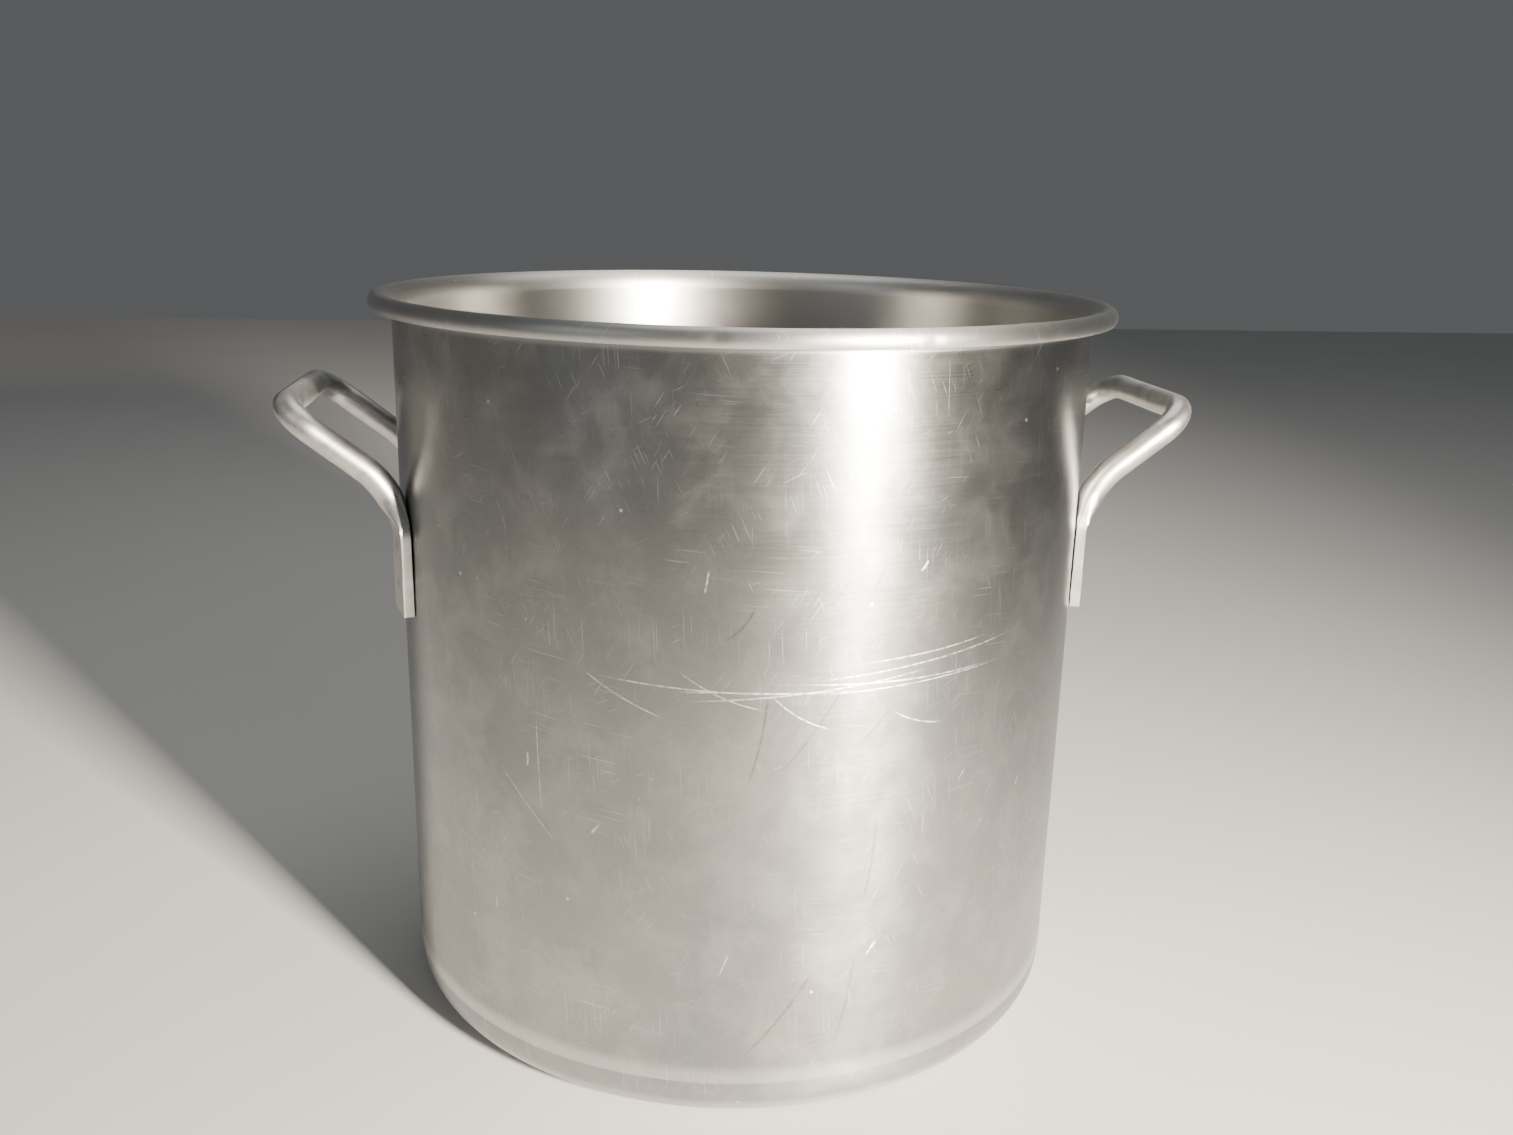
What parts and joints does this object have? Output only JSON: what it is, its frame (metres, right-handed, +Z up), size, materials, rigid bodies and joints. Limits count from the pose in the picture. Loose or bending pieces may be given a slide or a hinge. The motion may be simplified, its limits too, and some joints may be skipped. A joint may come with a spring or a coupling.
{
  "type": "stock pot",
  "caption": "Straight-sided aluminium stock pot with a rolled rim, rounded bottom corner and bent-rod side handles riveted on by flattened feet.",
  "frame": {"origin": "centre of the base, on the surface that the pot stands on", "axes": "+Z up along the pot's axis, +X out through the right handle, -Y towards the viewer"},
  "size_m": [0.4464, 0.364, 0.3564],
  "materials": {
    "satin_shell": "satin, spun and drawn, scratched by use",
    "handle_rod": "satin drawn rod, polished by hands",
    "rivet": "satin, hammered flush"
  },
  "bodies": {
    "root": {"pot_shell": "satin_shell", "handle_right": "handle_rod", "handle_left": "handle_rod", "rivet_right_front_lower": "rivet", "rivet_right_front_upper": "rivet", "rivet_right_back_lower": "rivet", "rivet_right_back_upper": "rivet", "rivet_left_front_lower": "rivet", "rivet_left_front_upper": "rivet", "rivet_left_back_lower": "rivet", "rivet_left_back_upper": "rivet"}
  },
  "joints": []
}
